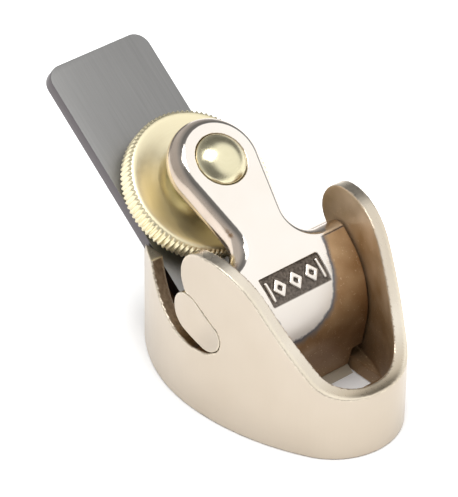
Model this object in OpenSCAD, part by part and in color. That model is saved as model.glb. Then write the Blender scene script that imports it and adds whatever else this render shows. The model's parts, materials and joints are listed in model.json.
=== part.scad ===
// Finger plane: a palm-sized bronze plane for violin and guitar making.
// Frame: origin at the middle of the sole, +X to the toe, +Y to the left, +Z up, millimetres.
// The blade, lever cap, screw and wheel are drawn in the blade's own frame (see on_blade):
// x = 0 at the cutting edge and negative up the blade, z = height above the blade's top face.

/* [Body] */
// Length of the sole from its widest section to the toe
toe_l = 24.45; // [24:0.05:25]
// Length of the sole from its widest section to the heel
heel_l = 22.85; // [22.4:0.05:23.2]
// Greatest width of the body
body_w = 28.5; // [28.3:0.1:29]
// Plan radius of the sides towards the toe
side_r_toe = 38; // [36:1:42]
// Plan radius of the sides towards the heel
side_r_heel = 28; // [27:1:30]
// Thickness of the walls
wall = 2.0; // [1.6:0.1:2.2]
// Thickness of the sole
sole_t = 2.4; // [2:0.1:3]
// Height of the toe wall
toe_h = 10.25; // [9.5:0.25:11]
// Height of the heel wall
heel_h = 17.7; // [17:0.1:18.5]
// Distance from the cutting edge to the front of the mouth
mouth_gap = 5.5; // [3:0.1:5.8]

/* [Ears] */
// Radius of the round top of each ear
ear_r = 4.75; // [4.5:0.05:5]
// Height of the top of the ears
ear_h = 27.15; // [26.8:0.05:27.6]
// Radius of the long shoulder from the ear towards the toe
shoulder_r = 11.1; // [10.6:0.1:11.6]
// Radius of the hollow where the shoulder meets the toe wall
toe_fillet_r = 6.95; // [6:0.05:7.5]
// Radius of the scoop between the heel wall and the hook
scoop_r = 14.2; // [13.8:0.1:14.4]

/* [Blade] */
// Width of the blade
blade_w = 18; // [17:0.5:18]
// Thickness of the blade
blade_t = 2.05; // [1.8:0.05:2.2]
// Length of the blade
blade_l = 59.4; // [55:0.2:65]
// Angle between the blade and the sole
bed_angle = 36.5; // [36:0.25:37]
// Angle of the ground bevel under the cutting edge
bevel_angle = 25; // [22:1:30]
// Radius of the two corners at the top end
blade_corner_r = 2.4; // [1:0.1:4]

/* [Lever cap] */
// Height of the polished face above the blade
cap_h = 13.5; // [13.3:0.05:13.7]
// Thickness of the arm
arm_t = 5.0; // [4.6:0.1:5.2]
// Greatest radius of the round head
head_r = 7.2; // [6.9:0.05:7.4]
// Radius of the full round along the arm's edge
edge_r = 2.75; // [2.7:0.05:2.9]
// Radius of the hollow between the neck and the shoulder, at the arm's widest
neck_r = 3.4; // [3:0.1:3.6]
// Length and width of the recessed plaque
plaque = [4.5, 10.8]; // [3:0.1:12]
// Depth of the recessed plaque
plaque_d = 0.45; // [0.3:0.05:0.7]

/* [Thumbwheel and screw] */
// Distance from the cutting edge to the screw, along the blade
screw_s = 33.85; // [33.4:0.05:34.2]
// Radius of the screw
screw_r = 3.92; // [3.6:0.02:3.92]
// Radius of the thumbwheel over its ridges
wheel_r = 11.2; // [10.6:0.1:11.4]
// Thickness of the thumbwheel
wheel_t = 3.6; // [3:0.1:3.8]
// Height of the thumbwheel above the blade
wheel_gap = 2.65; // [2.4:0.05:2.8]
// Number of ridges in the knurl
knurls = 92; // [60:1:110]
// Depth of the knurl
knurl_d = 0.35; // [0.2:0.05:0.5]
// Height of the screw's domed end above the cap
dome_h = 1.7; // [1.2:0.1:2]

/* [Hidden] */
$fn = 96;
bronze = "#dccfb6";
brass = "#dccd8c";
steel = "#9a9a96";

// far runs cutters past the whole plane, over past one surface; hair keeps surfaces from just touching
far = 60;
over = 1;
hair = 0.01;
touch_gap = 0.04;
running_gap = 0.07;
half_w = body_w / 2;
widest_x = (heel_l - toe_l) / 2;
edge_x = 8.2;
mouth_w = blade_w + 0.3;
channel_w = blade_w + 0.5;
channel_h = 12;
ramp_w = blade_w - 1;
mouth_rear = 3.4;
bed_foot = edge_x - (blade_t + touch_gap) / sin(bed_angle);
function bed_z(x) = (bed_foot - x) * tan(bed_angle);

// Ears, scoop and hook, as [x, z] in the side view
ear_c = [widest_x + 2.4, ear_h - ear_r];
shoulder_c = [widest_x + 2.9, ear_h - shoulder_r];
fillet_c = [widest_x + 24.6, toe_h + toe_fillet_r];
scoop_low = 10.7;
scoop_c = [widest_x + 0.5, scoop_low + scoop_r];
// The hook in each wall is two rounded bars, as [x, z, r] circles: room to unhook the cap, and the
// seat, which is the outline of the cap's lug in the blade's frame
hook_room = [[widest_x - 0.4, 14.0, 3.3], [widest_x + 2.1, 14.0, 3.0]];
lug = [[-17.3, 7.1, 3.2], [-13.2, 7.86, 2.55]];
hook_gap = 0.08;
hook_seat = [for (c = lug) [c.x, c.y, c[2] + hook_gap]];

// Lever cap, in the blade's frame
cap_gap = 0.35;
cap_front_r = 10.1;
cap_front_x = -14;
nose_x = -1.5;
flank_h = 3;
arm_z = cap_h - arm_t;
flat_inset = edge_r - sqrt(edge_r * edge_r - arm_t * arm_t / 4);
head_c = [-screw_s, 0];
neck_half_w = head_r - 2;
neck_c = [-22.9, neck_half_w + neck_r];
neck_dir = atan2(neck_c.y - head_c.y, neck_c.x - head_c.x);
neck_dist = norm(neck_c - head_c);
neck_angle = neck_dir + acos((head_r + neck_r) / neck_dist);
cap_back_x = -20.4;
block_end_x = neck_c.x - 1;
// Where the hollow under the cap starts to rise from the blade, then its slope, then its back edge
cap_under = [[-3, touch_gap], [-5, 1.6], [-10, 3], [cap_back_x, 4]];
cap_chamfer = 2;
plaque_x = -13.7;
lozenge = 1.72;
lozenge_line = 0.55;
lozenge_stretch = 1.25;
lozenge_pitch = 2.95;
mark_bar = [3.1, 0.5];
mark_bar_y = 4.7;

foot_r = 3.6;
foot_ball_r = 6;
foot_z = 1.2;
thread_z = 3;
dish_d = 0.5;
dish_r = wheel_r - 1.2;
dish_slope_w = 3;
knurl_end = 0.3;
knurl_root_r = wheel_r - knurl_d;

function unit(a) = [cos(a), sin(a)];
function xy(c) = [c.x, c.y];

// Where the outer tangent leaves circle a and meets circle b, both [x, y, r]
function tangent_at(a, b) =
    atan2(b.y - a.y, b.x - a.x) - acos((a[2] - b[2]) / norm(xy(b) - xy(a)));

// The convex outline round a ring of circles, listed anticlockwise. Its straight runs lie a hair
// inside the true tangents, so that they cross the circles cleanly.
module round_outline(ring) {
    count = len(ring);
    for (c = ring) translate(xy(c)) circle(c[2]);
    polygon([
        for (i = [0:count - 1])
            let (a = ring[i], b = ring[(i + 1) % count], turn = tangent_at(a, b))
            for (c = [a, b]) xy(c) + (c[2] - hair) * unit(turn)
    ]);
}

// One end of the plan outline: two side arcs, and an end arc that stands a hair proud of the true
// tangent so that it crosses them cleanly
module plan_half(length, side_r, inset) {
    end_r = (2 * side_r * half_w - length * length - half_w * half_w) / (2 * (side_r - length));
    join_x = (side_r - inset) * (length - end_r) / (side_r - end_r);
    intersection() {
        translate([0, half_w - side_r]) circle(side_r - inset, $fn = 240);
        translate([0, side_r - half_w]) circle(side_r - inset, $fn = 240);
        translate([0, -half_w]) square([join_x, body_w]);
    }
    translate([length - end_r, 0]) circle(end_r - inset + hair);
}

module plan(inset = 0) {
    translate([widest_x, 0]) {
        plan_half(toe_l, side_r_toe, inset);
        mirror([1, 0]) plan_half(heel_l, side_r_heel, inset);
    }
}

// Draws a side view, x and z, across the whole width
module across(width) {
    rotate([90, 0, 0]) linear_extrude(width, center = true) children();
}

module on_blade() {
    translate([edge_x, 0, 0]) rotate([0, bed_angle, 0]) children();
}

// The same placing for a side view
module side_on_blade() {
    translate([edge_x, 0]) rotate(-bed_angle) children();
}

// Side view of the walls behind the hook: the heel wall and the scoop
module heel_side() {
    difference() {
        translate([-far, -over]) square([far + scoop_c.x + over, heel_h + over]);
        translate(scoop_c) circle(scoop_r);
    }
}

// Side view of the walls in front of the hook: ear, shoulder, slope and toe wall
module toe_side() {
    line_dir = atan2(fillet_c.y - shoulder_c.y, fillet_c.x - shoulder_c.x);
    line_turn = line_dir + acos((shoulder_r + toe_fillet_r) / norm(fillet_c - shoulder_c));
    high = shoulder_c + shoulder_r * unit(line_turn);
    low = fillet_c - toe_fillet_r * unit(line_turn);
    difference() {
        union() {
            translate(ear_c) circle(ear_r);
            intersection() {
                translate(shoulder_c) circle(shoulder_r);
                translate([shoulder_c.x, 0]) square([shoulder_r, ear_h]);
            }
            polygon([
                [scoop_c.x, -over], [far, -over], [far, toe_h], [fillet_c.x, toe_h], fillet_c,
                low, high, [shoulder_c.x, ear_h], ear_c, [scoop_c.x, ear_c.y],
            ]);
        }
        translate(fillet_c) circle(toe_fillet_r);
        translate([fillet_c.x - toe_fillet_r, fillet_c.y]) square([far, far]);
    }
}

module plane_body() {
    color(bronze) difference() {
        intersection() {
            linear_extrude(far) plan();
            across(far) {
                heel_side();
                toe_side();
            }
        }
        across(far) {
            round_outline(hook_room);
            side_on_blade() round_outline(hook_seat);
        }
        // The inside, which leaves the sloping bed standing at the heel
        difference() {
            translate([0, 0, sole_t]) linear_extrude(far) plan(wall);
            across(ramp_w) polygon([
                [mouth_rear, 0], [mouth_rear, bed_z(mouth_rear)],
                [-heel_l, bed_z(-heel_l)], [-heel_l, 0],
            ]);
        }
        // The mouth, and the channel that lets the blade out over the heel wall
        translate([mouth_rear, -mouth_w / 2, -over])
            cube([edge_x + mouth_gap - mouth_rear, mouth_w, sole_t + 2 * over]);
        on_blade() translate([-far, -channel_w / 2, -blade_t - touch_gap])
            cube([far, channel_w, channel_h]);
    }
}

// Side view of the lever cap's block: nose, rounded front, flat top and hollow under it
module cap_side() {
    front_c = [cap_front_x, cap_h - cap_front_r];
    nose = [nose_x, touch_gap];
    nose_turn = atan2(nose.y - front_c.y, nose.x - front_c.x) + acos(cap_front_r / norm(nose - front_c));
    difference() {
        union() {
            intersection() {
                translate(front_c) circle(cap_front_r);
                translate([front_c.x, -far]) square([far, 2 * far]);
            }
            polygon([
                nose, front_c + (cap_front_r - hair) * unit(nose_turn), front_c,
                [front_c.x, cap_h], [block_end_x, cap_h], [block_end_x, arm_z],
                [cap_back_x - cap_chamfer, arm_z], [cap_back_x, arm_z - cap_chamfer], [cap_back_x, touch_gap],
            ]);
        }
        polygon(concat(cap_under, [[-far, cap_under[3].y], [-far, -far], [cap_under[0].x, -far]]));
    }
}

// The hollow edge beside the neck in cross-section, with the arm's full round left standing
module neck_profile() {
    difference() {
        translate([0, -far]) square([neck_r + flat_inset, 2 * far]);
        translate([neck_r + edge_r, arm_t / 2]) circle(edge_r);
    }
}

// Cuts away what lies beside the neck: a quarter turn, and then straight out to the wall
module neck_cutter() {
    translate([neck_c.x, neck_c.y, arm_z]) {
        rotate_extrude() neck_profile();
        translate([-hair, far - over / 10, 0]) rotate([90, 0, 0]) linear_extrude(far) {
            neck_profile();
            translate([-far, -far]) square([far, 2 * far]);
        }
    }
}

// The arm from the shoulder to the round head. The straight edges lie a hair inside the rounds
// they run into.
module cap_arm() {
    start = head_c + (head_r - edge_r) * unit(neck_angle);
    finish = neck_c - (neck_r + edge_r) * unit(neck_angle);
    overlap = 0.3;
    translate([head_c.x, 0, arm_z]) rotate_extrude() {
        square([head_r - edge_r, arm_t]);
        intersection() {
            translate([head_r - edge_r, arm_t / 2]) circle(edge_r);
            square([head_r, arm_t]);
        }
    }
    translate([0, 0, arm_z]) linear_extrude(arm_t) polygon([
        start, finish, [cap_back_x + 1, finish.y], [cap_back_x + 1, -finish.y],
        [finish.x, -finish.y], [start.x, -start.y],
    ]);
    for (side = [0, 1]) mirror([0, side, 0]) intersection() {
        translate([start.x, start.y, arm_z + arm_t / 2]) rotate([0, 90, neck_angle - 90])
            translate([0, 0, -overlap])
                cylinder(r = edge_r - hair, h = norm(finish - start) + 2 * overlap);
        translate([-far, -far, arm_z]) cube([far, 2 * far, arm_t]);
    }
}

// Raised lozenge rings between two bars, on the floor of the plaque
module plaque_marks() {
    for (i = [-1:1]) translate([plaque_x, i * lozenge_pitch]) scale([lozenge_stretch, 1]) rotate(45)
        difference() {
            square(lozenge, center = true);
            square(lozenge - 2 * lozenge_line, center = true);
        }
    for (side = [-1, 1]) translate([plaque_x, side * mark_bar_y]) square(mark_bar, center = true);
}

module lever_cap() {
    color(bronze) difference() {
        union() {
            intersection() {
                on_blade() difference() {
                    across(far) cap_side();
                    for (side = [0, 1]) mirror([0, side, 0]) {
                        neck_cutter();
                        // The flanks draw in towards the nose
                        translate([-far, blade_w / 2, -over]) cube([far, far, flank_h + over]);
                    }
                }
                translate([0, 0, -over]) linear_extrude(far) plan(wall + cap_gap);
            }
            intersection() {
                across(far) side_on_blade() round_outline(lug);
                linear_extrude(far) plan();
            }
            on_blade() cap_arm();
        }
        on_blade() {
            translate([head_c.x, 0, arm_z - over])
                cylinder(r = screw_r + running_gap, h = arm_t + 2 * over);
            translate([0, 0, cap_h - plaque_d]) linear_extrude(plaque_d + over) difference() {
                translate([plaque_x, 0]) square(plaque, center = true);
                plaque_marks();
            }
        }
    }
}

module clamp_screw() {
    dome_r = (screw_r * screw_r + dome_h * dome_h) / (2 * dome_h);
    color(brass) on_blade() translate([head_c.x, 0, 0]) {
        rotate_extrude() intersection() {
            union() {
                translate([0, foot_ball_r]) intersection() {
                    translate([0, touch_gap]) circle(foot_ball_r);
                    translate([0, -foot_ball_r]) square([foot_r, foot_ball_r]);
                }
                translate([0, thread_z]) square([screw_r, cap_h - thread_z]);
                translate([0, foot_z]) square([foot_r, thread_z]);
                intersection() {
                    translate([0, cap_h + dome_h - dome_r]) circle(dome_r);
                    translate([0, cap_h - over]) square([screw_r, dome_h + 2 * over]);
                }
            }
            square([screw_r, far]);
        }
    }
}

module thumbwheel() {
    color(brass) on_blade() translate([head_c.x, 0, wheel_gap]) difference() {
        union() {
            cylinder(r = knurl_root_r - 0.1, h = wheel_t);
            // The knurl stops short of both faces
            translate([0, 0, knurl_end]) linear_extrude(wheel_t - 2 * knurl_end) polygon([
                for (i = [0:2 * knurls - 1])
                    (i % 2 == 0 ? wheel_r : knurl_root_r) * unit(i * 180 / knurls)
            ]);
        }
        translate([0, 0, wheel_t - dish_d])
            cylinder(r1 = dish_r - dish_slope_w, r2 = dish_r + hair, h = dish_d + hair);
        translate([0, 0, -over]) cylinder(r = screw_r + running_gap, h = wheel_t + 2 * over);
    }
}

module blade() {
    bevel_l = blade_t / tan(bevel_angle);
    corner = blade_w / 2 - blade_corner_r;
    color(steel) on_blade() intersection() {
        across(blade_w) polygon([
            [0, 0], [-bevel_l, -blade_t], [-blade_l, -blade_t], [-blade_l, 0],
        ]);
        translate([0, 0, -blade_t - over]) linear_extrude(blade_t + 2 * over) {
            translate([-blade_l, -corner]) square([blade_l, 2 * corner]);
            translate([blade_corner_r - blade_l, -blade_w / 2]) square([blade_l - blade_corner_r, blade_w]);
            for (side = [1, -1]) translate([blade_corner_r - blade_l, side * corner]) circle(blade_corner_r);
        }
    }
}

plane_body();
lever_cap();
clamp_screw();
thumbwheel();
blade();
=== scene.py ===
"""Looks for the finger plane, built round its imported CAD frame. Metres, in the CAD's frame.

The two castings are the CAD's own solids, turned into level sets so that every edge can be rounded.
The screw and the wheel are lathed again with finer detail, and the blade is a copy of the CAD's mesh
with eased edges. Shapes are worked out in millimetres and become metres when a mesh is made.
"""

import json
import math

import bmesh
import bpy
import numpy as np
import openvdb
from mathutils import Matrix, Vector


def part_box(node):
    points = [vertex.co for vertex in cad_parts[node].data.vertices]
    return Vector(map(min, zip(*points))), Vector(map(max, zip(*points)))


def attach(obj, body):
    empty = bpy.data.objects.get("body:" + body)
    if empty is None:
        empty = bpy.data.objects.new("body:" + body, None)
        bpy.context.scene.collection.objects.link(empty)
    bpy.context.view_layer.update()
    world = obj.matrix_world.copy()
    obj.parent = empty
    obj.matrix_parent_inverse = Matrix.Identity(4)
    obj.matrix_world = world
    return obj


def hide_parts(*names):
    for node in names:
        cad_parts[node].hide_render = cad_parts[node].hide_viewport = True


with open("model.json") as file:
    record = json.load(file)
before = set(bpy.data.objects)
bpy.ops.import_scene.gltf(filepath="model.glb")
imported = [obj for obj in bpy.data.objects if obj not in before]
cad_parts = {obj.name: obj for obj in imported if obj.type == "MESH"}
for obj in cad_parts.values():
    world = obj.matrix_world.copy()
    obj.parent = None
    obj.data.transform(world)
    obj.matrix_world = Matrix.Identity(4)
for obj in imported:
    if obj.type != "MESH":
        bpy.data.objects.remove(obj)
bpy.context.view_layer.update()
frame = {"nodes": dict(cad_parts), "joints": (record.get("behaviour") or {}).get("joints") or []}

MM = 0.001


# ---------------------------------------------------------------- driving dimensions, in mm

BODY_LOW, BODY_HIGH = (np.array(corner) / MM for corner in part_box("plane_body"))
EDGE_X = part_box("blade")[1][0] / MM
WHEEL_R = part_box("thumbwheel")[1][1] / MM

# The wheel's joint stands on the blade's top face, square to it, where the screw's axis meets it
spin = next(joint for joint in frame["joints"] if joint["name"] == "wheel_spin")
BED_ANGLE = math.atan2(spin["axis"][0], spin["axis"][2])
HEAD_X = -math.hypot(spin["pos_m"][0] / MM - EDGE_X, spin["pos_m"][2] / MM)

# Plan of the body
WIDEST_X = -0.8
TOE_L = BODY_HIGH[0] - WIDEST_X
HEEL_L = WIDEST_X - BODY_LOW[0]
HALF_W = BODY_HIGH[1]
TOE_SIDE_R = 38
HEEL_SIDE_R = 28
WALL = 2.0

# The cut through the walls behind the ears lies behind SLOT_FRONT and below SLOT_TOP
SLOT_FRONT = 6.5
SLOT_TOP = 17.6

# Lever cap, screw and wheel, measured along the blade from its edge and up from its top face
CAP_H = 13.5
ARM_Z = 8.5
ARM_X = -17.5
PLAQUE_X = -13.7
PLAQUE = (4.5, 10.8)
SCREW_R = 3.92
FOOT_R = 3.6
THREAD_Z = 3.0
DOME_H = 1.7
WHEEL_T = 3.6
WHEEL_Z = 2.65
DISH_Z = 3.1
KNURLS = 92
KNURL_DEPTH = 0.34
SIDES_PER_KNURL = 6
TOUCH_GAP = 0.04
RUNNING_GAP = 0.07

# Outline of the cap's hand-polished face, in the blade's frame
TONGUE = (
    (-17.6, -7.6), (-15.2, -7.0), (-12.6, -6.4), (-10.2, -5.8), (-8.2, -5.2), (-6.9, -4.4), (-6.5, -3.6),
    (-6.7, 0.2), (-7.2, 1.6), (-7.8, 2.9), (-8.4, 3.7), (-9.3, 4.5), (-11.1, 5.4), (-13.8, 6.4), (-17.6, 7.6),
)

# The cap's face is bright on the arm and satin on the block, and changes between these
SATIN_X = (-15.5, -11.5)

# Castings: the grid step and edge radius of each, and the cells kept on each side of a surface
BODY_VOXEL = 0.135
BODY_EDGE_R = 0.18
CAP_VOXEL = 0.088
CAP_EDGE_R = 0.16
BAND = 6


def egg(x, y):
    """Distance to the body's plan outline: side arcs and end arcs that touch."""
    u, v = np.abs(x - WIDEST_X), np.abs(y)
    toe = x > WIDEST_X
    length = np.where(toe, TOE_L, HEEL_L)
    side_r = np.where(toe, TOE_SIDE_R, HEEL_SIDE_R)
    end_r = (2 * side_r * HALF_W - length**2 - HALF_W**2) / (2 * (side_r - length))
    drop = side_r - HALF_W
    at_end = u * drop > (length - end_r) * (v + drop)
    return np.where(at_end, np.hypot(u - length + end_r, v) - end_r, np.hypot(u, v + drop) - side_r)


def to_blade(p):
    """World points to the blade's frame: x from the edge, y, and z above the blade's top face."""
    x, z = p[:, 0] - EDGE_X, p[:, 2]
    c, s = math.cos(BED_ANGLE), math.sin(BED_ANGLE)
    return x * c - z * s, p[:, 1], x * s + z * c


def beyond_tongue(x, y):
    """Distance outside the hand-polished face's outline, in the blade's frame. Inside it is negative."""
    outline = np.array(TONGUE)
    distance = np.full(len(x), np.inf)
    for (x0, y0), (x1, y1) in zip(outline, outline[1:]):
        dx, dy = x1 - x0, y1 - y0
        t = np.clip(((x - x0) * dx + (y - y0) * dy) / (dx * dx + dy * dy), 0, 1)
        distance = np.minimum(distance, np.hypot(x - x0 - t * dx, y - y0 - t * dy))
    inside = x < np.interp(y, outline[:, 1], outline[:, 0], left=-np.inf, right=-np.inf)
    return np.where(inside, -distance, distance)


def smoothstep(low, high, v):
    t = np.clip((v - low) / (high - low), 0, 1)
    return t * t * (3 - 2 * t)


# ---------------------------------------------------------------- CAD solid to casting

def link(name, data):
    """A new object in the scene."""
    obj = bpy.data.objects.new(name, data)
    bpy.context.scene.collection.objects.link(obj)
    return obj


def soften(field, sigma):
    """The field blurred along each axis, which rounds the solid's edges."""
    reach = math.ceil(2.5 * sigma)
    taps = np.exp(-0.5 * (np.arange(-reach, reach + 1) / sigma) ** 2)
    for axis in range(3):
        total = np.zeros_like(field)
        for shift, tap in zip(range(-reach, reach + 1), taps / taps.sum()):
            total += tap * np.roll(field, shift, axis)
        field = total
    return field


def sample(field, at):
    """The field's values between grid points."""
    base = np.floor(at).astype(int)
    part = at - base
    total = np.zeros(len(at))
    for corner in np.ndindex(2, 2, 2):
        weight = np.prod(np.where(corner, part, 1 - part), axis=1)
        total += weight * field[tuple((base + corner).T)]
    return total


def slope(field, at, reach):
    """The field's gradient, taken over reach grid cells each way."""
    steps = np.eye(3) * reach
    return np.stack([sample(field, at + s) - sample(field, at - s) for s in steps], 1) / (2 * reach)


def nets(field):
    """One point for each grid cell that the surface crosses, and the quads that join them."""
    counts = field.shape
    quads, points, cells = [], [], []
    for axis in range(3):
        first = field.take(range(counts[axis] - 1), axis)
        second = field.take(range(1, counts[axis]), axis)
        edges = np.argwhere((first < 0) != (second < 0))
        a, b = first[tuple(edges.T)], second[tuple(edges.T)]
        crossing = edges.astype(float)
        crossing[:, axis] += a / (a - b)
        ring = []
        for back_u, back_v in ((0, 0), (1, 0), (1, 1), (0, 1)):
            cell = edges.copy()
            cell[:, (axis + 1) % 3] -= back_u
            cell[:, (axis + 2) % 3] -= back_v
            ring.append(np.ravel_multi_index(cell.T, counts))
        ring = np.stack(ring, 1)
        cells.append(ring.ravel())
        points.append(np.repeat(crossing, 4, 0))
        ring[a > 0] = ring[a > 0][:, ::-1]
        quads.append(ring)
    ids, where = np.unique(np.concatenate(cells), return_inverse=True)
    points = np.concatenate(points)
    total = np.bincount(where)
    points = np.stack([np.bincount(where, points[:, i]) / total for i in range(3)], 1)
    return points, np.searchsorted(ids, np.concatenate(quads))


def cast_surface(node, voxel, edge_r):
    """A CAD node's surface with every edge rounded: points and normals in mm, and quads."""
    mesh = frame["nodes"][node].data
    mesh.calc_loop_triangles()
    points = np.empty(len(mesh.vertices) * 3, np.float32)
    mesh.vertices.foreach_get("co", points)
    triangles = np.empty(len(mesh.loop_triangles) * 3, np.int32)
    mesh.loop_triangles.foreach_get("vertices", triangles)
    grid = openvdb.FloatGrid.createLevelSetFromPolygons(
        points.reshape(-1, 3) / MM,
        triangles=triangles.reshape(-1, 3).astype(np.uint32),
        transform=openvdb.createLinearTransform(voxelSize=voxel),
        halfWidth=BAND,
    )
    low, high = (np.array(corner) for corner in grid.evalActiveVoxelBoundingBox())
    field = np.empty(high - low + 1, np.float32)
    grid.copyToArray(field, ijk=tuple(int(v) for v in low))

    # A blur of half the radius rounds an edge by about that radius
    field = soften(field / voxel, edge_r / voxel / 2)

    # The net is drawn on every second grid point, then pulled onto the full field's surface
    at, quads = nets(field[::2, ::2, ::2])
    at *= 2
    for _ in range(3):
        g = slope(field, at, 0.5)
        at -= np.clip(sample(field, at)[:, None] * g / (g * g).sum(1)[:, None], -1, 1)
    normals = slope(field, at, 0.8)
    normals /= np.linalg.norm(normals, axis=1)[:, None]
    return (at + low) * voxel, normals, quads


def casting(name, points, normals, quads, zones):
    """A mesh object with exact normals and one float attribute for each zone of finish, painted highlight or
    painted shade.
    """
    mesh = bpy.data.meshes.new(name)
    mesh.vertices.add(len(points))
    mesh.vertices.foreach_set("co", (points * MM).astype(np.float32).ravel())
    mesh.loops.add(quads.size)
    mesh.loops.foreach_set("vertex_index", quads.astype(np.int32).ravel())
    mesh.polygons.add(len(quads))
    mesh.polygons.foreach_set("loop_start", np.arange(0, quads.size, 4, dtype=np.int32))
    mesh.update(calc_edges=True)
    mesh.validate()
    mesh.shade_smooth()
    mesh.normals_split_custom_set_from_vertices(normals)
    for zone, weight in zones.items():
        mesh.attributes.new(zone, "FLOAT", "POINT").data.foreach_set("value", weight.astype(np.float32))
    return link(name, mesh)


def outer_edges(x, y, normals):
    """1 along the rounded edges of the outside walls, where the painted highlight goes: there a normal is
    neither outward nor square to it.
    """
    step = 0.02
    out_x = (egg(x + step, y) - egg(x - step, y)) / (2 * step)
    out_y = (egg(x, y + step) - egg(x, y - step)) / (2 * step)
    outward = normals[:, 0] * out_x + normals[:, 1] * out_y
    turned = smoothstep(0.05, 0.3, outward) * smoothstep(0.998, 0.95, outward)
    return turned * smoothstep(-0.6, -0.4, egg(x, y))


def low_shade_weight(z):
    """Weight of the painted shade: 1 near the sole, where a hollow is darkest, falling to 0 at mid-height."""
    return smoothstep(15, 3, z)


def make_body():
    """The body. It is cast inside; a rim or slot is a wall's cut face, and an edge its rounded corner. The
    edge carries a painted highlight, and the slot and the low parts painted shade.
    """
    points, normals, quads = cast_surface("plane_body", BODY_VOXEL, BODY_EDGE_R)
    x, y, z = points.T
    depth = -egg(x, y)
    in_wall = smoothstep(0.05, 0.3, depth) * smoothstep(WALL - 0.05, WALL - 0.3, depth)
    slot = (x < SLOT_FRONT) * (z < SLOT_TOP)
    above_sole = z > 1
    zones = {
        "cast": smoothstep(WALL - 0.15, WALL, depth) * (z > 0.1),
        "slot": in_wall * slot,
        "rim": in_wall * ~slot * above_sole,
        "edge": outer_edges(x, y, normals) * above_sole,
        "low_shade": low_shade_weight(z),
    }
    return casting("body_casting", points, normals, quads, zones)


def make_cap():
    """The cap. It is cast where no zone is polished; the floor is the plaque's, the flank the arm's. The
    flank gets painted shade, the edge a painted highlight, and the low parts painted shade.
    """
    points, normals, quads = cast_surface("lever_cap", CAP_VOXEL, CAP_EDGE_R)
    world_x, world_y, world_z = points.T
    x, y, z = to_blade(points)
    on_arm = smoothstep(ARM_X + 0.3, ARM_X - 0.4, x)
    polished = np.maximum(smoothstep(1.3, -0.8, beyond_tongue(x, y)), on_arm)
    polished *= smoothstep(ARM_Z - 2.2, ARM_Z - 1.2, z)
    side_face = smoothstep(-0.3, -0.1, egg(world_x, world_y))
    at_plaque = np.maximum(np.abs(x - PLAQUE_X) - PLAQUE[0] / 2, np.abs(y) - PLAQUE[1] / 2)
    face_up = normals[:, 0] * math.sin(BED_ANGLE) + normals[:, 2] * math.cos(BED_ANGLE)
    sideways = smoothstep(0.95, 0.6, face_up) * smoothstep(-0.85, -0.5, face_up)
    zones = {
        "cast": (1 - polished) * (1 - side_face),
        "floor": smoothstep(0.05, -0.05, at_plaque) * smoothstep(CAP_H - 0.12, CAP_H - 0.3, z),
        "side_face": side_face,
        "edge": outer_edges(world_x, world_y, normals),
        "satin": smoothstep(*SATIN_X, x),
        "flank": sideways * smoothstep(ARM_X + 1, ARM_X, x),
        "low_shade": low_shade_weight(world_z),
    }
    return casting("cap_casting", points, normals, quads, zones)


# ---------------------------------------------------------------- materials

class Nodes:
    """Short names for building a node tree. A metal unless told otherwise."""

    def __init__(self, owner):
        owner.use_nodes = True
        self.owner = owner
        self.tree = owner.node_tree
        self.place = self.add("ShaderNodeTexCoord").outputs["Object"]
        self.shader = self.tree.nodes.get("Principled BSDF")
        if self.shader:
            self.shader.inputs["Metallic"].default_value = 1

    @classmethod
    def material(cls, name):
        return cls(bpy.data.materials.new(name))

    def add(self, kind, **settings):
        node = self.tree.nodes.new(kind)
        for key, value in settings.items():
            setattr(node, key, value)
        return node

    def join(self, source, socket):
        """Links an output to a socket, or sets the socket to a number, vector or colour."""
        if isinstance(source, (int, float)):
            socket.default_value = source
        elif isinstance(source, tuple):
            socket.default_value = (*source, 1) if len(socket.default_value) == 4 else source
        else:
            self.tree.links.new(source, socket)

    def attribute(self, name):
        return self.add("ShaderNodeAttribute", attribute_name=name).outputs["Fac"]

    def noise(self, scale, stretch=(1, 1, 1), detail=3, rough=0.55):
        mapping = self.add("ShaderNodeMapping")
        mapping.inputs["Scale"].default_value = stretch
        self.join(self.place, mapping.inputs["Vector"])
        node = self.add("ShaderNodeTexNoise")
        self.join(mapping.outputs["Vector"], node.inputs["Vector"])
        node.inputs["Scale"].default_value = scale
        node.inputs["Detail"].default_value = detail
        node.inputs["Roughness"].default_value = rough
        return node.outputs["Fac"]

    def spread(self, value, low, high, from_low=0.3, from_high=0.7):
        """Maps from_low to low and from_high to high, and is held there beyond them."""
        node = self.add("ShaderNodeMapRange")
        sockets = ("Value", "From Min", "From Max", "To Min", "To Max")
        for socket, source in zip(sockets, (value, from_low, from_high, low, high)):
            self.join(source, node.inputs[socket])
        return node.outputs["Result"]

    def mix(self, factor, a, b):
        """Mixes two colours, or two numbers."""
        is_colour = isinstance(a, tuple) or isinstance(b, tuple) or getattr(a, "type", "") == "RGBA"
        node = self.add("ShaderNodeMix", data_type="RGBA" if is_colour else "FLOAT")
        first = 6 if is_colour else 2
        self.join(factor, node.inputs[0])
        self.join(a, node.inputs[first])
        self.join(b, node.inputs[first + 1])
        return node.outputs[2 if is_colour else 0]

    def maths(self, operation, a, b=0.0):
        node = self.add("ShaderNodeMath", operation=operation)
        self.join(a, node.inputs[0])
        self.join(b, node.inputs[1])
        return node.outputs[0]

    def dot(self, vector, direction):
        """The cosine between a unit vector and a fixed direction."""
        node = self.add("ShaderNodeVectorMath", operation="DOT_PRODUCT")
        self.join(vector, node.inputs[0])
        node.inputs[1].default_value = direction
        return node.outputs["Value"]

    def bump(self, height, strength, distance):
        node = self.add("ShaderNodeBump")
        node.inputs["Strength"].default_value = strength
        node.inputs["Distance"].default_value = distance
        self.join(height, node.inputs["Height"])
        self.join(node.outputs["Normal"], self.shader.inputs["Normal"])

    def finish(self, colour, rough):
        self.join(colour, self.shader.inputs["Base Color"])
        self.join(rough, self.shader.inputs["Roughness"])
        return self.owner
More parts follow.
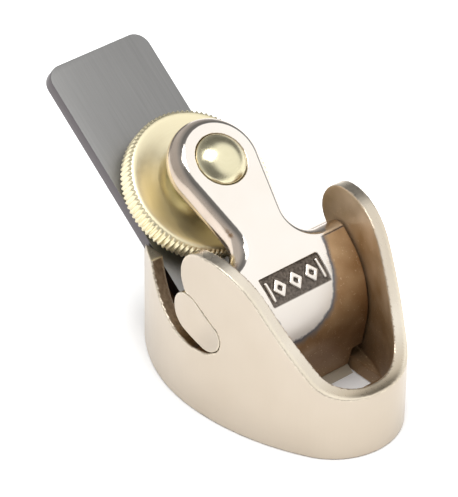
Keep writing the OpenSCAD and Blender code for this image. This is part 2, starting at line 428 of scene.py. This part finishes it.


# The body's walls, their rounded edges with a painted highlight, their top rims, and the slot through them,
# painted dark as shade
BRONZE = (0.565, 0.495, 0.41)
BRONZE_DARK = (0.49, 0.415, 0.325)
EDGE_HIGHLIGHT = (0.86, 0.79, 0.66)
EDGE_HIGHLIGHT_DIM = (0.74, 0.65, 0.51)
RIM_LIGHT = (0.80, 0.73, 0.62)
RIM_DARK = (0.42, 0.335, 0.22)
SLOT_SHADE_LIGHT = (0.22, 0.16, 0.105)
SLOT_SHADE_DARK = (0.14, 0.10, 0.065)

# The cap's polished face, its arm's flanks in painted shade, the line where the polish ends, and the plaque's
# floor
POLISHED = (0.93, 0.875, 0.81)
POLISHED_WARM = (0.87, 0.80, 0.71)
FLANK_SHADE_LIGHT = (0.72, 0.62, 0.53)
FLANK_SHADE_DARK = (0.54, 0.45, 0.37)
TINT = (0.19, 0.19, 0.205)
FLOOR_LIGHT = (0.20, 0.165, 0.135)
FLOOR_DARK = (0.06, 0.048, 0.04)

# Bronze left as cast: on the cap, and inside the body, and the painted shade it darkens to near the sole
CAST_LIGHT = (0.68, 0.47, 0.27)
CAST_DARK = (0.36, 0.20, 0.085)
CAST_LOW_SHADE = (0.17, 0.085, 0.03)
CAST_SPECK = (0.85, 0.66, 0.44)
INSIDE_LIGHT = (0.74, 0.57, 0.39)
INSIDE_DARK = (0.40, 0.26, 0.13)

# Brass of the screw's dome and of the wheel
DOME_LIGHT = (0.82, 0.76, 0.53)
DOME_DARK = (0.60, 0.52, 0.29)
WHEEL_LIGHT = (0.90, 0.82, 0.58)
WHEEL_DARK = (0.78, 0.68, 0.42)

# Steel: the ground faces, the sides, and the lapped tip, whose warm beige is partly a painted reflection of
# the bronze
STEEL = (0.285, 0.282, 0.275)
STEEL_DARK = (0.235, 0.233, 0.228)
STEEL_CLOUD = (0.25, 0.245, 0.24)
STEEL_SIDE = (0.13, 0.118, 0.122)
LAPPED_AND_REFLECTED = (0.74, 0.69, 0.57)
LAPPED_LENGTH = 4 * MM

# Bump distances, in metres
CAST_GRAIN = 0.00004
GROUND_GRAIN = 0.00002
TURNED_GRAIN = 0.00001


def cast_look(n, light, dark):
    """Colour, roughness and grain height of bronze left as cast, with painted shade darkening it near the
    sole.
    """
    patches = n.noise(scale=150, detail=2)
    grain = n.noise(scale=2600, detail=2, rough=0.7)
    colour = n.mix(n.spread(patches, 0, 1), dark, light)
    # Painted shade: the cast colour darkens towards the sole
    colour = n.mix(n.maths("MULTIPLY", n.attribute("low_shade"), 0.75), colour, CAST_LOW_SHADE)
    specks = n.spread(grain, 0, 0.5, 0.62, 0.72)
    return n.mix(specks, colour, CAST_SPECK), n.spread(grain, 0.36, 0.55), grain


def less_metallic(n, dull, least):
    """Lets a dull zone take some plain light: Metallic falls from 1 to the least as it grows."""
    n.join(n.spread(dull, 1, least, 0, 1), n.shader.inputs["Metallic"])


def body_material():
    n = Nodes.material("cast_bronze")
    cast, rim, slot, edge = (n.attribute(zone) for zone in ("cast", "rim", "slot", "edge"))
    brushed = n.noise(scale=2100, stretch=(1, 1, 0.1), detail=2)
    clouds = n.noise(scale=70, detail=2)
    colour = n.mix(n.spread(clouds, 0, 0.5), BRONZE, BRONZE_DARK)
    colour = n.mix(n.spread(brushed, 0, 0.03), colour, BRONZE_DARK)
    rough = n.spread(brushed, 0.28, 0.31)

    # The rim darkens in random patches, and with painted shade near the sole
    patches_and_low_shade = n.maths("MAXIMUM", n.spread(clouds, 0, 0.6), n.maths("MULTIPLY", n.attribute("low_shade"), 2.2))
    colour = n.mix(rim, colour, n.mix(patches_and_low_shade, RIM_LIGHT, RIM_DARK))
    rough = n.mix(rim, rough, n.spread(brushed, 0.26, 0.36))
    # Painted shade: the slot's cut faces are near black
    colour = n.mix(slot, colour, n.mix(n.spread(brushed, 0, 1), SLOT_SHADE_DARK, SLOT_SHADE_LIGHT))
    rough = n.mix(slot, rough, 0.32)
    # Painted highlight along the rounded edges
    colour = n.mix(edge, colour, n.mix(n.spread(clouds, 0, 1), EDGE_HIGHLIGHT, EDGE_HIGHLIGHT_DIM))
    rough = n.mix(edge, rough, 0.55)

    cast_colour, cast_rough, grain = cast_look(n, INSIDE_LIGHT, INSIDE_DARK)
    less_metallic(n, cast, 0.4)
    n.bump(n.mix(cast, n.maths("MULTIPLY", brushed, 0.004), grain), 0.35, CAST_GRAIN)
    return n.finish(n.mix(cast, colour, cast_colour), n.mix(cast, rough, cast_rough))


def cap_material():
    n = Nodes.material("polished_bronze")
    cast, floor, side_face = (n.attribute(zone) for zone in ("cast", "floor", "side_face"))
    edge, flank, satin = (n.attribute(zone) for zone in ("edge", "flank", "satin"))
    smears = n.noise(scale=120, detail=2)
    scratches = n.noise(scale=1400, stretch=(1, 8, 1), detail=2)
    colour = n.mix(n.spread(smears, 0, 0.5), POLISHED, POLISHED_WARM)
    rough = n.mix(satin, n.spread(scratches, 0.07, 0.14), n.spread(scratches, 0.34, 0.44))

    # Painted shade: the arm's sideways faces are darker
    colour = n.mix(flank, colour, n.mix(n.spread(smears, 0, 1), FLANK_SHADE_LIGHT, FLANK_SHADE_DARK))
    rough = n.mix(flank, rough, n.spread(scratches, 0.14, 0.24))
    colour = n.mix(side_face, colour, n.mix(n.spread(smears, 0, 0.5), BRONZE, BRONZE_DARK))
    rough = n.mix(side_face, rough, 0.28)
    # Painted highlight along the rounded edges
    colour = n.mix(edge, colour, n.mix(n.spread(smears, 0, 1), EDGE_HIGHLIGHT, EDGE_HIGHLIGHT_DIM))
    rough = n.mix(edge, rough, 0.55)

    # The polish ends in an uneven line: a dark tint first, and then the cast skin
    ragged = n.maths("ADD", cast, n.spread(n.noise(scale=700), -0.1, 0.1))
    colour = n.mix(n.spread(ragged, 0, 1, 0.21, 0.4), colour, TINT)
    skin = n.spread(ragged, 0, 1, 0.45, 0.9)
    cast_colour, cast_rough, grain = cast_look(n, CAST_LIGHT, CAST_DARK)
    colour = n.mix(skin, colour, cast_colour)
    rough = n.mix(skin, rough, cast_rough)
    colour = n.mix(floor, colour, n.mix(n.spread(grain, 0, 1), FLOOR_DARK, FLOOR_LIGHT))
    rough = n.mix(floor, rough, 0.5)
    less_metallic(n, n.maths("MAXIMUM", skin, satin), 0.4)
    n.bump(n.maths("MULTIPLY", n.maths("MAXIMUM", skin, floor), grain), 0.4, CAST_GRAIN)
    return n.finish(colour, rough)


def brass_material(name, light, dark, rough_low, rough_high):
    """Brass turned on a lathe: the marks run round the piece's own axis."""
    n = Nodes.material(name)
    flat = n.add("ShaderNodeVectorMath", operation="MULTIPLY")
    n.join(n.place, flat.inputs[0])
    flat.inputs[1].default_value = (1, 1, 0)
    radius = n.add("ShaderNodeVectorMath", operation="LENGTH")
    n.join(flat.outputs["Vector"], radius.inputs[0])
    turned = n.add("ShaderNodeTexNoise", noise_dimensions="1D")
    n.join(radius.outputs["Value"], turned.inputs["W"])
    turned.inputs["Scale"].default_value = 4000
    marks = turned.outputs["Fac"]
    clouds = n.noise(scale=90, detail=1)
    colour = n.mix(n.spread(clouds, 0, 0.3), light, dark)
    colour = n.mix(n.spread(marks, 0, 0.12), colour, dark)
    n.bump(marks, 0.08, TURNED_GRAIN)
    return n.finish(colour, n.spread(n.noise(scale=900), rough_low, rough_high))


def steel_material():
    """Steel ground across its width, with dark sides, and lapped bright over the last of its tip; the tip's
    warm beige is partly a painted reflection of the bronze.
    """
    n = Nodes.material("tool_steel")
    turn = n.add("ShaderNodeVectorRotate", rotation_type="Y_AXIS")
    n.join(n.place, turn.inputs["Vector"])
    turn.inputs["Angle"].default_value = -BED_ANGLE
    n.place = turn.outputs["Vector"]
    grain = n.noise(scale=1500, stretch=(0.05, 2.2, 1), detail=4, rough=0.7)
    clouds = n.noise(scale=70)
    colour = n.mix(n.spread(grain, 0, 0.5), STEEL, STEEL_DARK)
    colour = n.mix(n.spread(clouds, 0, 0.3), colour, STEEL_CLOUD)

    place = n.add("ShaderNodeSeparateXYZ")
    n.join(n.place, place.inputs[0])
    tip = EDGE_X * math.cos(BED_ANGLE) * MM
    lapped = n.spread(place.outputs["X"], 0, 1, tip - LAPPED_LENGTH - MM, tip - LAPPED_LENGTH)
    # The lapped band is bright steel, and its warm beige is a painted reflection of the bronze around it
    colour = n.mix(lapped, colour, LAPPED_AND_REFLECTED)
    rough = n.mix(lapped, n.spread(grain, 0.34, 0.46), n.spread(grain, 0.12, 0.2))
    less_metallic(n, lapped, 0.3)

    normal = n.add("ShaderNodeTexCoord").outputs["Normal"]
    facing = n.dot(normal, (math.sin(BED_ANGLE), 0, math.cos(BED_ANGLE)))
    side = n.spread(n.maths("ABSOLUTE", facing), 1, 0, 0.3, 0.7)
    n.bump(grain, 0.15, GROUND_GRAIN)
    return n.finish(n.mix(side, colour, STEEL_SIDE), rough)


def paint(obj, material):
    obj.data.materials.clear()
    obj.data.materials.append(material)


# ---------------------------------------------------------------- lathed pieces and the blade

def blade_place(x, z):
    """Placing of a piece whose own +Z is square to the blade, at x along it and z above it."""
    edge = Matrix.Translation((EDGE_X * MM, 0, 0)) @ Matrix.Rotation(BED_ANGLE, 4, "Y")
    return edge @ Matrix.Translation((x * MM, 0, z * MM))


def lathe(name, rings, sides, radius_at=None):
    """Turns (r, z) rings about +Z into a closed mesh. radius_at(r, i) may alter a ring's radius."""
    bm = bmesh.new()
    rows = []
    for r, z in rings:
        if r == 0:
            rows.append([bm.verts.new((0, 0, z * MM))] * sides)
            continue
        row = []
        for i in range(sides):
            radius = radius_at(r, i) if radius_at else r
            angle = 2 * math.pi * i / sides
            row.append(bm.verts.new(Vector((radius * math.cos(angle), radius * math.sin(angle), z)) * MM))
        rows.append(row)
    for low, high in zip(rows, rows[1:]):
        for i in range(sides):
            j = (i + 1) % sides
            corners = list(dict.fromkeys((low[i], low[j], high[j], high[i])))
            if len(corners) > 2:
                bm.faces.new(corners)
    bmesh.ops.recalc_face_normals(bm, faces=bm.faces)

    # A bored piece ends on the ring it began with
    bmesh.ops.remove_doubles(bm, verts=bm.verts, dist=0.0001 * MM)
    mesh = bpy.data.meshes.new(name)
    bm.to_mesh(mesh)
    bm.free()
    mesh.shade_smooth()
    return link(name, mesh)


def arc(centre, r, start, end, count):
    """Points on an arc between two angles in degrees."""
    angles = np.radians(np.linspace(start, end, count))
    return [(centre[0] + r * math.cos(a), centre[1] + r * math.sin(a)) for a in angles]


def make_screw():
    """A stud with a domed top and a rounded foot."""
    dome_r = (SCREW_R**2 + DOME_H**2) / (2 * DOME_H)
    dome_centre = (0, CAP_H + DOME_H - dome_r)
    dome_start = math.degrees(math.acos((SCREW_R - 0.12) / dome_r))
    rings = [(0, TOUCH_GAP), (1.2, TOUCH_GAP + 0.1), (2.4, TOUCH_GAP + 0.45), (FOOT_R - 0.2, 1.05)]
    rings += [(FOOT_R, 1.3), (FOOT_R, THREAD_Z), (SCREW_R - 0.15, THREAD_Z + 0.1), (SCREW_R, THREAD_Z + 0.3)]
    rings += [(SCREW_R, CAP_H - 0.25), (SCREW_R - 0.03, CAP_H - 0.1)]
    rings += arc(dome_centre, dome_r, dome_start, 89.5, 16)
    rings += [(0, CAP_H + DOME_H)]
    obj = lathe("screw", rings, 128)
    obj.matrix_world = blade_place(HEAD_X, 0)
    return obj


def make_wheel():
    """A knurled rim between two plain edges, with a shallow dish on top and a bore for the screw."""
    plain_r = WHEEL_R - KNURL_DEPTH - 0.06
    bore_r = SCREW_R + RUNNING_GAP

    def knurled(r, i):
        if r < plain_r:
            return r
        wave = 0.5 + 0.5 * math.cos(2 * math.pi * i / SIDES_PER_KNURL)
        return r - KNURL_DEPTH * (1 - wave) ** 1.5

    rings = [(bore_r, 0.15), (bore_r + 0.15, 0), (9.8, 0), (10.6, 0.05), (plain_r - 0.02, 0.16)]
    rings += [(WHEEL_R - 0.12, 0.3), (WHEEL_R, 0.42), (WHEEL_R, WHEEL_T - 0.42)]
    rings += [(WHEEL_R - 0.12, WHEEL_T - 0.3), (plain_r - 0.02, WHEEL_T - 0.14), (plain_r - 0.2, WHEEL_T)]
    rings += [(10.15, WHEEL_T), (9.9, WHEEL_T - 0.03), (9.0, DISH_Z + 0.28), (8.0, DISH_Z + 0.09)]
    rings += [(7.3, DISH_Z + 0.01), (6.6, DISH_Z), (bore_r + 0.1, DISH_Z), (bore_r, DISH_Z - 0.1)]
    rings += [(bore_r, 0.15)]
    obj = lathe("wheel", rings, KNURLS * SIDES_PER_KNURL, knurled)
    obj.matrix_world = blade_place(HEAD_X, WHEEL_Z)
    return obj


def make_blade():
    """The CAD's blade with its flat faces made whole and its edges eased."""
    ease = 0.1 * MM
    bm = bmesh.new()
    bm.from_mesh(frame["nodes"]["blade"].data)
    bmesh.ops.remove_doubles(bm, verts=bm.verts, dist=0.001 * MM)
    bmesh.ops.dissolve_limit(bm, angle_limit=math.radians(0.5), verts=bm.verts, edges=bm.edges)
    sharp = [e for e in bm.edges if e.calc_face_angle() > math.radians(30)]
    bmesh.ops.bevel(
        bm,
        geom=sharp,
        offset=ease,
        segments=3,
        profile=0.5,
        affect="EDGES",
        clamp_overlap=True,
    )
    mesh = bpy.data.meshes.new("iron")
    bm.to_mesh(mesh)
    bm.free()
    mesh.shade_smooth()
    mesh.set_sharp_from_angle(angle=math.radians(25))
    return link("iron", mesh)


body = make_body()
paint(body, body_material())
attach(body, "plane_body")
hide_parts("plane_body")

cap = make_cap()
paint(cap, cap_material())
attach(cap, "lever_cap")
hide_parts("lever_cap")

screw = make_screw()
dome_brass = brass_material("dome_brass", DOME_LIGHT, DOME_DARK, rough_low=0.2, rough_high=0.28)
paint(screw, dome_brass)
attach(screw, "clamp_screw")
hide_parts("clamp_screw")

wheel = make_wheel()
wheel_brass = brass_material("wheel_brass", WHEEL_LIGHT, WHEEL_DARK, rough_low=0.34, rough_high=0.42)
paint(wheel, wheel_brass)
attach(wheel, "thumbwheel")
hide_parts("thumbwheel")

blade = make_blade()
paint(blade, steel_material())
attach(blade, "blade")
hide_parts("blade")


# ---------------------------------------------------------------- floor, light and camera

FLOOR_HALF = 1.5
FLOOR_GAP = 0.02 * MM
FLOOR_LEAST_GLOW = 0.05
FLOOR_MOST_GLOW = 0.62
SHADE_REACH = 12 * MM
LIGHT_TARGET = Vector((0, 0, 15 * MM))

# Light from the world, by direction: a soft panel above the toe's far side, and a dim room behind it
PANEL_DIRECTION = Vector((0.55, 0.5, 0.67)).normalized()
PANEL_LIGHT = 1.1
PANEL_EDGE = (0.60, 0.76)
DARK_LIGHT = 0.17
ROOM_LIGHT = 0.5
ROOM_EDGE = (-0.15, 0.3)

# A long lens, half a metre from the middle of the body
LENS = 246.278
SENSOR = 36
CAMERA_AZIMUTH = math.radians(48.74)
CAMERA_ELEVATION = math.radians(35.09)
CAMERA_ROLL = math.radians(0.83)
CAMERA_DISTANCE = 489.922 * MM
CAMERA_RIGHT = -5.237 * MM
CAMERA_UP = 17.224 * MM


def outward(azimuth, elevation):
    """Unit vector from the object: azimuth 0 is -Y, and a quarter turn is +X."""
    return Vector((
        math.sin(azimuth) * math.cos(elevation),
        -math.cos(azimuth) * math.cos(elevation),
        math.sin(elevation),
    ))


def make_floor():
    """A pale floor that glows faintly, with a painted shadow: the glow is less where something stands over
    it.
    """
    mesh = bpy.data.meshes.new("floor")
    signs = ((-1, -1), (1, -1), (1, 1), (-1, 1))
    corners = [(x * FLOOR_HALF, y * FLOOR_HALF, -FLOOR_GAP) for x, y in signs]
    mesh.from_pydata(corners, [], [(0, 1, 2, 3)])
    floor = link("floor", mesh)
    n = Nodes.material("floor_white")
    n.shader.inputs["Metallic"].default_value = 0
    n.shader.inputs["Specular IOR Level"].default_value = 0.1
    n.shader.inputs["Emission Color"].default_value = (1, 1, 1, 1)
    # Painted shadow: the glow dims where ambient occlusion finds something over the floor
    shade = n.add("ShaderNodeAmbientOcclusion")
    shade.inputs["Distance"].default_value = SHADE_REACH
    glow = n.spread(shade.outputs["AO"], FLOOR_LEAST_GLOW, FLOOR_MOST_GLOW, 0.3, 0.9)
    n.join(glow, n.shader.inputs["Emission Strength"])
    clouds = n.noise(scale=8)
    colour = n.mix(n.spread(clouds, 0, 1), (0.9, 0.9, 0.9), (0.93, 0.93, 0.93))
    mesh.materials.append(n.finish(colour, 0.8))


def make_light(name, azimuth, elevation, distance, size, power):
    data = bpy.data.lights.new(name, "AREA")
    data.shape = "SQUARE"
    data.size = size
    data.energy = power
    light = link(name, data)
    back = outward(math.radians(azimuth), math.radians(elevation))
    light.location = back * distance + LIGHT_TARGET
    light.rotation_euler = back.to_track_quat("Z", "Y").to_euler()


def make_world():
    world = bpy.data.worlds.new("world")
    bpy.context.scene.world = world
    n = Nodes(world)
    along = n.dot(n.add("ShaderNodeTexCoord").outputs["Generated"], PANEL_DIRECTION)
    panel = n.spread(along, DARK_LIGHT, PANEL_LIGHT, *PANEL_EDGE)
    room = n.spread(along, ROOM_LIGHT, 0, *ROOM_EDGE)
    background = n.tree.nodes["Background"]
    n.join(n.maths("ADD", panel, room), background.inputs["Strength"])
    background.inputs["Color"].default_value = (1, 1, 1, 1)


def make_camera():
    back = outward(CAMERA_AZIMUTH, CAMERA_ELEVATION)
    level_right = Vector((0, 0, 1)).cross(back).normalized()
    level_up = back.cross(level_right)
    right = math.cos(CAMERA_ROLL) * level_right + math.sin(CAMERA_ROLL) * level_up
    up = -math.sin(CAMERA_ROLL) * level_right + math.cos(CAMERA_ROLL) * level_up
    data = bpy.data.cameras.new("camera")
    data.sensor_width = SENSOR
    data.lens = LENS
    data.clip_end = 10
    camera = link("camera", data)
    place = Matrix((right, up, back)).transposed().to_4x4()
    middle = Vector((WIDEST_X * MM, 0, 0))
    place.translation = middle + back * CAMERA_DISTANCE + right * CAMERA_RIGHT + up * CAMERA_UP
    camera.matrix_world = place
    bpy.context.scene.camera = camera


make_floor()
make_light("key", azimuth=20, elevation=78, distance=0.6, size=0.3, power=1.6)
make_world()
make_camera()
bpy.context.scene.view_settings.view_transform = "Standard"
